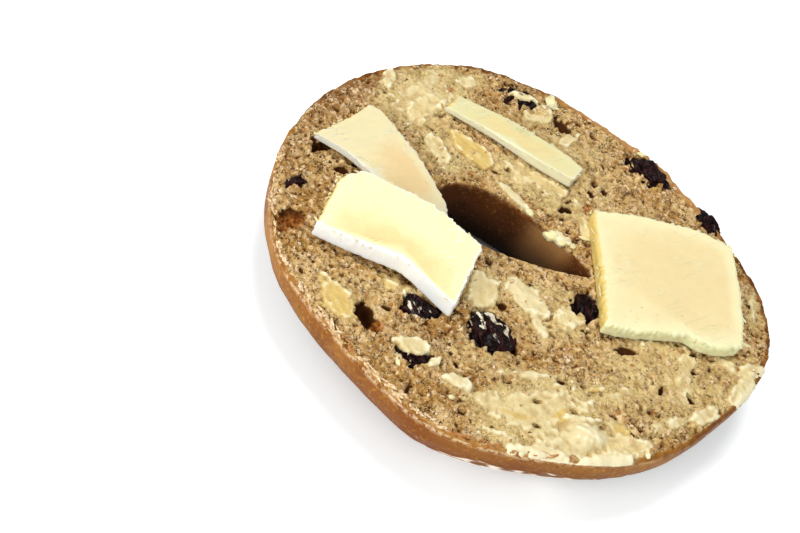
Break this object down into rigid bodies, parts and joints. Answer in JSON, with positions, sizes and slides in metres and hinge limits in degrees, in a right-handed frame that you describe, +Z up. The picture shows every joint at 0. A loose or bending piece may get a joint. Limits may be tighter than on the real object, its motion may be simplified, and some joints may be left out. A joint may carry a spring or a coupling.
{
  "type": "buttered raisin bagel half",
  "caption": "Half of a sliced raisin bagel lying cut face up, with butter spread on the crumb and cold butter slices resting on top.",
  "frame": {"origin": "under the middle of the bounding box, on the surface that the base rests on", "axes": "+Z up out of the cut face, +X along the long way of the bagel and of its hole"},
  "size_m": [0.1096, 0.1004, 0.0258],
  "materials": {
    "bread": "baked bread, dry porous crumb with a browned crust",
    "butter": "cold butter, smooth with a soft sheen",
    "raisin": "wrinkled dried fruit skin, sticky sheen"
  },
  "bodies": {
    "root": {"bread_half": "bread", "butter_slice_left": "butter", "butter_slice_front": "butter", "butter_slice_back": "butter", "butter_slice_right": "butter", "raisin_1": "raisin", "raisin_2": "raisin", "raisin_3": "raisin", "raisin_4": "raisin", "raisin_5": "raisin", "raisin_6": "raisin", "raisin_7": "raisin", "raisin_8": "raisin", "raisin_9": "raisin", "raisin_10": "raisin", "raisin_11": "raisin"}
  },
  "joints": []
}
